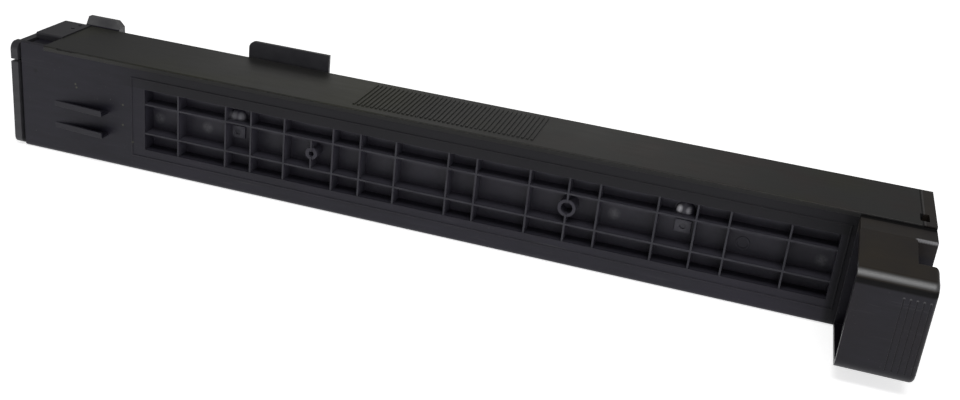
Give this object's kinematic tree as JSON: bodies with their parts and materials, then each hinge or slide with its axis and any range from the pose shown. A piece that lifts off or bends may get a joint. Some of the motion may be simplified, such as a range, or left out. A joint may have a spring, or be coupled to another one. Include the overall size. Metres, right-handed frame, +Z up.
{
  "type": "toner cartridge",
  "caption": "Long dark plastic toner hopper with a ribbed front recess, gear-driven stirrer and feed screw, end caps, sliding outlet shutter and a hollow pull grip.",
  "frame": {"origin": "middle of the body's resting face, at half its length and half its depth", "axes": "+X along the cartridge towards the pull grip, -Y towards the ribbed side, +Z up towards the lid"},
  "size_m": [0.48, 0.1068, 0.0675],
  "materials": {
    "body_plastic": "fine matte moulded, slightly bluish black",
    "lid_plastic": "fine matte moulded black",
    "cap_plastic": "fine matte moulded black",
    "grip_plastic": "matte moulded black, satin on the rolled edge",
    "shaft_plastic": "natural white moulded",
    "clear_film": "thin clear film",
    "gear_plastic": "natural acetal",
    "seal_rubber": "soft felt and rubber",
    "foam_seal": "dark foam",
    "shutter_plastic": "satin dark grey",
    "plug_plastic": "natural polyethylene",
    "board": "green circuit board",
    "contact_gold": "gold plated",
    "screw_steel": "zinc plated"
  },
  "bodies": {
    "cartridge": {"hopper_body": "body_plastic", "top_lid": "lid_plastic", "drive_end_cap": "cap_plastic", "handle_end_cap": "grip_plastic", "agitator_seal": "seal_rubber", "auger_seal": "seal_rubber", "agitator_bush": "gear_plastic", "auger_bush": "gear_plastic", "outlet_seal": "foam_seal", "fill_plug": "plug_plastic", "chip_holder": "cap_plastic", "chip_board": "board", "chip_contacts": "contact_gold", "cap_screws": "screw_steel"},
    "stirrer": {"agitator_shaft": "shaft_plastic", "agitator_film": "clear_film", "film_clamp": "shaft_plastic", "agitator_gear": "gear_plastic", "drive_coupling": "gear_plastic"},
    "feed_screw": {"feed_auger": "shaft_plastic", "auger_gear": "gear_plastic"},
    "shutter": {"outlet_shutter": "shutter_plastic"}
  },
  "joints": [
    {"name": "stirrer_turn", "type": "hinge", "parent": "cartridge", "child": "stirrer", "pos_m": [0, 0.00425, 0.0345], "axis": [1, 0, 0], "continuous": true},
    {"name": "feed_screw_turn", "type": "hinge", "parent": "cartridge", "child": "feed_screw", "pos_m": [0, 0.00425, 0.0124], "axis": [1, 0, 0], "continuous": true},
    {"name": "shutter_slide", "type": "slide", "parent": "cartridge", "child": "shutter", "axis": [1, 0, 0], "range_m": [0, 0.025]}
  ],
  "couplings": [
    {"joint": "feed_screw_turn", "follows": "stirrer_turn", "ratio": -2.1429}
  ]
}
